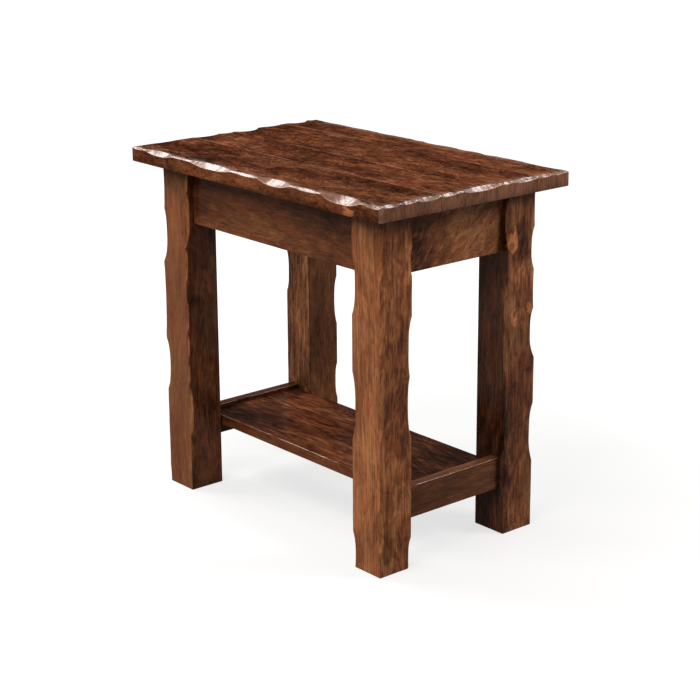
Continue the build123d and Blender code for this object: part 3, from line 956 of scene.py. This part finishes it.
def leg_outline(corners, height):
    """One closed section for each height, and how hewn and how near an arris its points are.

    Each corner gives a crease, a facet square to the corner's diagonal, another crease and the
    sawn face up to the next corner.  Facets and faces wander a little inwards.
    """
    section, hewn = [], []
    for index, (corner, arriving, leaving, depth, setback, tangent) in enumerate(corners):
        before = corner - arriving * setback[:, None]
        after = corner + leaving * setback[:, None]
        across = (leaving + arriving) / math.sqrt(2)
        first = crease(before, arriving, across, tangent)
        second = crease(after, across, leaving, tangent)
        facet_start, facet_end = first[:, -1:], second[:, :1]
        facet = facet_start + (facet_end - facet_start) * facet_steps[None, :, None]
        outward = corner / np.linalg.norm(corner)
        deep = np.clip((depth / MM - leg_land) / full_facet, 0, 1)[:, None]
        hollow = waver(height[:, None] * 1.4, facet_steps[None, :] * 0.03, 40 + index) - 0.7
        facet = facet + outward * (facet_wander * MM * hollow * deep)[:, :, None]

        next_corner, next_arriving, _, _, next_setback, next_tangent = corners[(index + 1) % 4]
        face_start = second[:, -1:]
        face_end = (next_corner - next_arriving * (next_setback + next_tangent)[:, None])[:, None, :]
        face = face_start + (face_end - face_start) * face_steps[None, :, None]
        face_normal = np.array([leaving[1], -leaving[0]])
        sag = waver(height[:, None] * 0.8, face_steps[None, :] * 0.05, 50 + index) - 0.8
        swell = np.sin(np.pi * face_steps)[None, :]
        face = face + face_normal * (face_wander * MM * sag * swell)[:, :, None]
        section += [first, facet, second, face]
        hewn.append(deep * [0, 0, 0.5, 1, 1, *np.ones(len(facet_steps)),
                            1, 1, 0.5, 0, 0, *np.zeros(len(face_steps))])
    crest = [0, 0.6, 1, 0.6, 0]
    crests = [*crest, *np.zeros(len(facet_steps)), *crest, *np.zeros(len(face_steps))]
    arris = np.tile(crests, (len(height), len(corners)))
    return np.concatenate(section, axis=1), np.concatenate(hewn, axis=1), arris


def make_leg(name, node, material):
    """A square post as rows of one closed section, whose hewn corners change with height.

    The section shrinks at the foot by the chamfer, and a fan of triangles closes each end.
    """
    low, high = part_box(node)
    side_x = 1 if low.x > 0 else -1
    side_y = 1 if low.y > 0 else -1
    centre = np.array([(low.x + high.x) / 2, (low.y + high.y) / 2])
    half = (high.x - low.x) / 2
    height = np.concatenate([
        [low.z, low.z + foot_chamfer * MM],
        np.linspace(low.z + foot_row * MM, high.z, round((high.z - low.z) / (leg_row_height * MM))),
    ])
    corners = leg_corners(leg_cuts[node], height, half, side_x, side_y)
    outline, hewn, arris = leg_outline(corners, height)
    outline[0] *= 1 - foot_chamfer * MM / half
    rows, columns = outline.shape[:2]
    upright = np.broadcast_to(height[:, None, None], (rows, columns, 1))
    side = np.concatenate([centre + outline, upright], axis=-1).reshape(-1, 3)

    number = np.arange(rows * columns).reshape(rows, columns)
    beside = np.roll(number, -1, axis=1)
    side_faces = np.stack([number[:-1], beside[:-1], beside[1:], number[1:]], axis=-1).reshape(-1, 4)
    foot_centre, head_centre = rows * columns, rows * columns + 1
    foot = np.stack([np.full(columns, foot_centre), beside[0], number[0]], axis=-1)
    head = np.stack([np.full(columns, head_centre), number[-1], beside[-1]], axis=-1)
    vertices = np.concatenate([side, [[*centre, height[0]], [*centre, height[-1]]]])
    faces = side_faces.tolist() + foot.tolist() + head.tolist()
    paint = {"hewn": np.append(hewn.ravel(), [0, 0]), "arris": np.append(arris.ravel(), [0, 0])}
    make_piece(name, vertices, faces, material, node, paint)


# --- The table --------------------------------------------------------------

top_stain = dict(
    figure="top", grain="x", sway=0.006, curls=0.08, flecks=0.08, pores=0.035, veil=0.045, gloss=0.003,
    border=0.25, facet_gloss=0.95, facet_wear=0.30, arris_glint=0.35,
)
leg_stain = dict(
    figure="leg", grain="z", sway=0.003, curls=0.08, flecks=0.08, pores=0.10, veil=0.04,
    facet_gloss=0.10, facet_lift=0.17, arris_shade=0.05,
)
rail_stain = dict(figure="rail", sway=0.004, curls=0.10, flecks=0.05, pores=0.05, veil=0.04)

# What single boards, legs and rails have of their own
board_looks = {
    "top_board_front": dict(shift=(0.31, 0.12, 0.02), lift=-0.13),
    "top_board_second": dict(shift=(1.47, 0.45, 0.05), lift=-0.105),
    "top_board_third": dict(shift=(2.83, 0.93, 0.03), lift=-0.09),
    "top_board_back": dict(shift=(3.61, 1.37, 0.07), lift=-0.065),
}
leg_looks = {
    "leg_front_left": dict(
        shift=(0.0, 0.21, 0.33), lift=0.145, tint=(0.96, 1.04, 1.07),
        # the first face, the inner +X one, is darkened: painted shade
        faces=[(0, -219, -0.170, 0.1), (1, -169, 0.0, 0.35)],
    ),
    "leg_front_right": dict(
        shift=(1.3, 0.81, 0.12), lift=0.25,
        faces=[(0, 285, -0.03, -0.25), (1, -169, 0.01, -0.1)],
    ),
    "leg_back_right": dict(
        shift=(2.7, 0.40, 0.77), lift=0.11, tint=(0.94, 1.0, 1.10),
        # the first face, the inner -Y one, is darkened: painted shade
        faces=[(1, 103, -0.12, -0.2), (0, 285, 0.045, -0.15)],
    ),
    "leg_back_left": dict(
        shift=(4.1, 0.93, 0.55), lift=0.14, tint=(0.95, 1.03, 1.02),
        # the first face, the inner +X one, is darkened: painted shade
        faces=[(0, -219, -0.15, 0.3), (1, 103, 0.0, -0.8)],
    ),
}
rail_looks = {
    "apron_front": dict(
        grain="x", shift=(0.4, 0.3, 0.6), lift=0.06, contrast=0.9, tint=(1.0, 1.0, 0.87),
    ),
    "apron_back": dict(grain="x", shift=(1.9, 0.8, 0.1), lift=0.05),
    "apron_left": dict(grain="y", shift=(0.7, 0.2, 0.9), lift=0.08),
    "apron_right": dict(
        grain="y", shift=(2.2, 0.5, 0.4), lift=0.27, lean=-0.5, contrast=1.4, tint=(0.95, 1.01, 1.06),
    ),
    # its dark lift is painted shade: the stretcher sits in shadow under the table
    "stretcher_left": dict(grain="y", shift=(3.1, 0.9, 0.2), lift=-0.25),
    "stretcher_right": dict(
        grain="y", shift=(4.6, 0.1, 0.7), lift=0.07, contrast=0.75, tint=(0.90, 1.01, 1.12),
    ),
    # its low lift is partly the wood's own tone and partly painted shade under the table top
    "shelf_board": dict(grain="x", shift=(5.3, 0.6, 0.3), lift=-0.20, contrast=1.5, gloss=0.03),
}
front_edge_face = (0.10, 0.3)       # lift and calm of the top's front edge, and then of the shelf's
shelf_edge_face = (0.19, 0.6)

knots = {
    "top_board_front": [
        Knot((-190, -152, 610), (85, 30, 12), lift=-0.12, soft=0.8, uneven=0.4),
        Knot((251, -202, 590), (15, 8, 7), lift=0.22, amber=0.6, soft=0.3, uneven=0.3),
    ],
    "top_board_third": [
        Knot((-119, 104, 610), (40, 18, 12), lift=-0.10, soft=0.8, uneven=0.4),
        Knot((66, 105, 610), (44, 16, 12), lift=-0.10, soft=0.8, uneven=0.4),
    ],
    "leg_front_left": [
        Knot((-219, -150, 347), (8, 9, 10), lift=-0.18, heart=0.6, shade=0.07, uneven=0.22),
    ],
    "leg_front_right": [
        Knot((285, -112, 512), (9, 8, 28), lift=0.20, amber=0.6, soft=0.6, uneven=0.3),
        Knot((250, -169, 110), (60, 10, 190), lift=0.06, soft=0.9),
        Knot((285, -121, 196), (9, 6, 12), lift=-0.16, uneven=0.4),
    ],
    "leg_back_right": [
        Knot((285, 134, 520), (10, 10, 28), lift=-0.20, soft=0.6, uneven=0.35),
        Knot((285, 131, 482), (10, 13, 12), lift=-0.22, soft=0.6, uneven=0.35),
        Knot((285, 140, 368), (10, 13, 18), lift=-0.18, soft=0.7, uneven=0.35),
        Knot((286, 113, 497), (9, 12, 21), lift=0.24, amber=1.0, outline=0.9, soft=0.2, uneven=0.14),
        Knot((285, 112, 493), (10, 5, 8), lift=-0.24, amber=-1.0, soft=0.35, uneven=0.1),
        Knot((285, 120, 373), (9, 9, 12), lift=0.18, amber=0.8, outline=0.9, soft=0.25, uneven=0.3),
        Knot((285, 121, 378), (9, 4, 6), lift=-0.22, amber=-0.9, soft=0.5, uneven=0.3),
        Knot((285, 155, 383), (9, 5, 9), lift=0.17, amber=0.6, ring=0.5, outline=0.9, soft=0.3, uneven=0.3),
    ],
    "apron_front": [
        Knot((-167, -148, 519), (7, 6, 3), lift=0.10, soft=0.6, uneven=0.6),
        Knot((80, -148, 507), (8, 6, 3), lift=0.12, soft=0.6, uneven=0.6),
        Knot((152, -148, 527), (7, 6, 4), lift=0.12, soft=0.6, uneven=0.6),
    ],
    "apron_right": [
        Knot((264, -64, 535), (9, 52, 95), lift=-0.18, soft=0.25),
    ],
}

# Soft lighter or darker patches: place and radii in millimetres, and what is added to tone.  Those marked
# are painted light or shade, the rest the stain's own.
clouds = {
    "top_board_front": [
        ((-305, -155, 610), (36, 50, 12), -0.20),
        ((-157, -100, 610), (60, 26, 12), 0.07),
        ((-10, -180, 610), (50, 22, 12), 0.06),
        ((45, -138, 610), (80, 28, 12), -0.11),
        ((150, -182, 610), (60, 22, 12), -0.11),
        ((275, -122, 610), (45, 42, 12), 0.13),
        ((140, -202, 592), (100, 8, 16), -0.08),
        ((300, -202, 592), (36, 8, 16), -0.08),
        ((5, -202, 590), (60, 8, 16), 0.10),
        ((-110, -202, 590), (60, 8, 16), 0.09),
    ],
    "top_board_second": [
        ((-300, -45, 610), (42, 80, 12), -0.14),
        ((-160, -50, 610), (80, 42, 12), -0.12),
        ((-45, -66, 610), (38, 26, 12), -0.17),
        ((30, -28, 610), (80, 36, 12), 0.15),
        ((258, -38, 610), (50, 40, 12), 0.14),
    ],
    "top_board_third": [
        ((-288, 70, 610), (46, 80, 12), -0.19),
        ((-10, 90, 610), (95, 40, 12), 0.13),
        ((282, 40, 610), (30, 30, 12), -0.05),
    ],
    "top_board_back": [
        ((-290, 155, 610), (44, 60, 12), -0.17),
        ((217, 158, 610), (66, 26, 12), -0.08),
    ],
    "leg_front_left": [
        ((-219, -128, 455), (10, 40, 60), -0.10),
        # painted light on the front corner's facet
        ((-214, -168, 400), (12, 12, 60), 0.10),
        ((-219, -126, 310), (10, 30, 80), 0.08),
        ((-219, -132, 155), (10, 34, 65), -0.20),
        ((-219, -140, 45), (10, 60, 75), 0.20),
        # painted light on the front corner's facet
        ((-209, -169, 400), (14, 12, 50), 0.08),
        ((-219, -138, 368), (10, 26, 26), 0.14),
        # the next two: painted shade under the apron and the top's overhang
        ((-219, -120, 545), (10, 42, 38), -0.16),
        ((-272, -169, 555), (22, 12, 34), -0.16),
        ((-238, -169, 55), (26, 12, 60), 0.08),
    ],
    "leg_front_right": [
        ((285, -142, 370), (10, 30, 80), -0.17),
        ((285, -118, 490), (10, 20, 38), 0.15),
        ((285, -140, 452), (10, 22, 36), 0.12),
        ((285, -126, 168), (10, 36, 60), 0.08),
        ((284, -158, 458), (12, 13, 58), 0.16),
        # the next two: painted shade, the outer corner's facet darkened like the +X face
        ((283, -162, 260), (14, 13, 34), -0.20),
        ((281, -166, 84), (13, 13, 42), -0.13),
        ((285, -130, 100), (10, 40, 60), 0.16),
    ],
    "leg_back_right": [
        ((285, 140, 440), (10, 32, 34), 0.20),
        ((285, 105, 425), (10, 14, 40), 0.05),
        ((285, 127, 200), (10, 40, 95), -0.13),
        ((285, 155, 66), (10, 26, 64), 0.18),
        ((280, 106, 228), (14, 14, 55), -0.20),
        # painted shade on the corner facet beside the stretcher
        ((280, 108, 104), (14, 14, 48), -0.24),
        # painted highlight on the top of the corner facet
        ((281, 107, 533), (13, 13, 34), 0.24),
        ((285, 158, 525), (10, 14, 50), 0.10),
        # painted shade on the inner -Y face
        ((230, 103, 258), (26, 10, 90), -0.26),
        # painted light on the corner facet
        ((268, 103, 405), (20, 14, 56), 0.24),
        # painted shadow of the stretcher on the inner -Y face
        ((264, 103, 116), (42, 14, 84), -0.28),
    ],
    "leg_back_left": [
        # painted shadow beside the shelf
        ((-240, 103, 140), (30, 10, 45), -0.16),
        ((-228, 103, 255), (20, 10, 80), 0.11),
        ((-268, 103, 365), (16, 12, 46), 0.16),
        ((-219, 140, 236), (10, 30, 60), -0.05),
        ((-219, 140, 120), (10, 50, 50), 0.12),
        ((-219, 160, 96), (10, 16, 22), 0.18),
    ],
    "apron_front": [
        # painted shade: darker at the left end beside the front left leg and under the top
        ((-200, -148, 550), (75, 10, 80), -0.14),
        ((-40, -148, 520), (140, 10, 90), 0.06),
        # painted light: lighter along the lower edge, away from the shade under the top
        ((-40, -148, 488), (160, 10, 24), 0.08),
        # painted shade: darker at the right end beside the front right leg and under the top
        ((190, -148, 540), (95, 10, 80), -0.10),
    ],
    "apron_right": [
        ((270, -84, 506), (10, 40, 56), -0.34),
        ((264, 20, 545), (10, 62, 46), 0.23),
        ((264, -20, 574), (10, 110, 18), 0.10),
        ((264, 100, 498), (10, 18, 40), -0.08),
    ],
    "shelf_board": [
        # the next two: painted shadow of the front left leg on the shelf's left end
        ((-205, -80, 125), (50, 50, 10), -0.12),
        ((-190, -45, 125), (95, 85, 10), -0.15),
        # painted light on the front middle of the shelf
        ((10, -58, 125), (115, 52, 10), 0.24),
        ((138, 51, 125), (45, 25, 10), 0.15),
        ((210, 40, 125), (50, 30, 10), -0.14),
        ((257, 30, 125), (30, 30, 10), 0.12),
        # painted light on the shelf's front edge
        ((70, -103, 116), (60, 10, 12), 0.09),
    ],
    "stretcher_right": [
        ((278, -82, 99), (10, 44, 50), -0.10),
        # painted shade near the back right leg
        ((271, 116, 98), (10, 36, 40), -0.24),
        ((260, 40, 132), (14, 55, 10), 0.04),
    ],
}
top_pieces = [
    ("hewn_board_front", "top_board_front", front_edge_cuts, None),
    ("hewn_board_second", "top_board_second", None, None),
    ("hewn_board_third", "top_board_third", None, None),
    ("hewn_board_back", "top_board_back", None, back_edge_cuts),
]


def stain_node(node, **look):
    """The stained wood of one CAD node, with the clouds and knots of its own."""
    marks = dict(clouds=clouds.get(node, ()), knots=knots.get(node, ()))
    return stained_wood("stained_" + node, Stain(**look, **marks))


def dress(node, material):
    """Gives its material to a CAD node that is shown as it is."""
    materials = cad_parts[node].data.materials
    materials.clear()
    materials.append(material)


for piece_name, node, front_cuts, back_cuts in top_pieces:
    low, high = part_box(node)
    seams = [] if front_cuts else [low.y / MM]
    seams += [] if back_cuts else [high.y / MM]
    faces = [(1, low.y / MM, *front_edge_face)] if front_cuts else []
    ends = (low.x / MM, high.x / MM)
    wood = stain_node(node, faces=faces, seams=seams, ends=ends, **top_stain, **board_looks[node])
    make_top_board(piece_name, node, front_cuts, back_cuts, wood)

for node, look in leg_looks.items():
    low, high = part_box(node)
    wood = stain_node(node, centre=tuple((low + high) / 2), **leg_stain, **look)
    make_leg("hewn_" + node, node, wood)

for node, look in rail_looks.items():
    low, high = (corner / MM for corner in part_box(node))
    if look["grain"] == "x":
        edges = [(1, low.y, 2, high.z), (1, high.y, 2, high.z)]
    else:
        edges = [(0, low.x, 2, high.z), (0, high.x, 2, high.z)]
    faces = [(1, low.y, *shelf_edge_face)] if node == "shelf_board" else []
    dress(node, stain_node(node, faces=faces, worn_edges=edges, **rail_stain, **look))

poplar_shades = rgb(0.300, 0.205, 0.105), rgb(0.520, 0.395, 0.235)
beech_shades = rgb(0.400, 0.250, 0.140), rgb(0.640, 0.450, 0.290)
hidden_looks = {
    plated_steel("zinc_plate"): ["corner_lag_screws", "corner_washers", "button_screws"],
    bare_wood("beech_across", "y", (0.3, 0.8, 0.1), *beech_shades, 0.0): ["top_buttons"],
    bare_wood("beech_along", "x", (1.3, 0.2, 0.6), *beech_shades, 0.0): ["top_biscuits"],
    bare_wood("sealed_poplar", "z", (0.9, 0.4, 0.2), *poplar_shades, 0.2): [
        "corner_block_front_left", "corner_block_front_right",
        "corner_block_back_right", "corner_block_back_left",
    ],
}
for material, nodes in hidden_looks.items():
    for node in nodes:
        dress(node, material)

# --- Studio -----------------------------------------------------------------

room_light = 0.06           # radiance of the world as light
floor_paint = rgb(0.25, 0.25, 0.25)
floor_glow = 0.72           # what it adds, where it is seen, under the table
floor_reach = 14.0          # half its side, in metres
shadow_reach = (0.3, 1.6)   # metres from the middle between which the floor turns white


def seen_directly(finish):
    """1 for a ray from the camera, from gloss or through glass, which then meets plain white."""
    node = finish.add("ShaderNodeLightPath").socket.node
    rays = [Signal(finish, node.outputs[key])
            for key in ("Is Camera Ray", "Is Glossy Ray", "Is Transmission Ray")]
    return rays[0].larger(rays[1]).larger(rays[2])


def make_floor():
    """A wide pale floor that keeps the table's shadow, and turns plain white away from it."""
    finish = Finish(bpy.data.materials.new("pale_floor"))
    paint = finish.add("ShaderNodeBsdfDiffuse", None, {"Color": floor_paint})
    spot = finish.add("ShaderNodeTexCoord", output="Object")
    away = finish.vectors("LENGTH", spot, output="Value")
    whiteness = finish.rise(away, *shadow_reach) * (1 - floor_glow) + floor_glow
    glow = finish.add(
        "ShaderNodeEmission",
        None,
        {"Color": rgb(1, 1, 1), "Strength": seen_directly(finish) * whiteness},
    )
    both = finish.add("ShaderNodeAddShader", None, {0: paint, 1: glow})
    mesh = bpy.data.meshes.new("floor")
    corners = [(x * floor_reach, y * floor_reach, 0) for x, y in ((-1, -1), (1, -1), (1, 1), (-1, 1))]
    mesh.from_pydata(corners, [], [(0, 1, 2, 3)])
    mesh.materials.append(finish.close(both))
    add_object("floor", mesh)


def make_world():
    """Plain white where it is seen, and a dimmer white as light."""
    studio = Finish(bpy.data.worlds.new("studio"))
    glow = studio.add(
        "ShaderNodeBackground",
        None,
        {"Color": rgb(1, 1, 1), "Strength": seen_directly(studio) * (1 - room_light) + room_light},
    )
    studio.add("ShaderNodeOutputWorld", None, {"Surface": glow})
    bpy.context.scene.world = studio.owner


make_camera()
make_floor()
make_world()
make_softbox("window", (-0.74, -0.06, 0.64), 2.3, 0.9, 6.5, warmth=1.0)
make_softbox("front_window", (-0.73, -0.42, 0.50), 2.3, 1.0, 10.5)
make_softbox("front_light", (0.22, -1.0, 1.10), 2.4, 1.6, 5.7)
make_softbox("side_light", (0.80, 0.62, 0.64), 2.4, 0.8, 15.0)
make_softbox("rim", (-0.10, 0.62, 0.77), 2.4, 0.5, 8.5, warmth=1.0)

bpy.context.scene.view_settings.view_transform = "Standard"
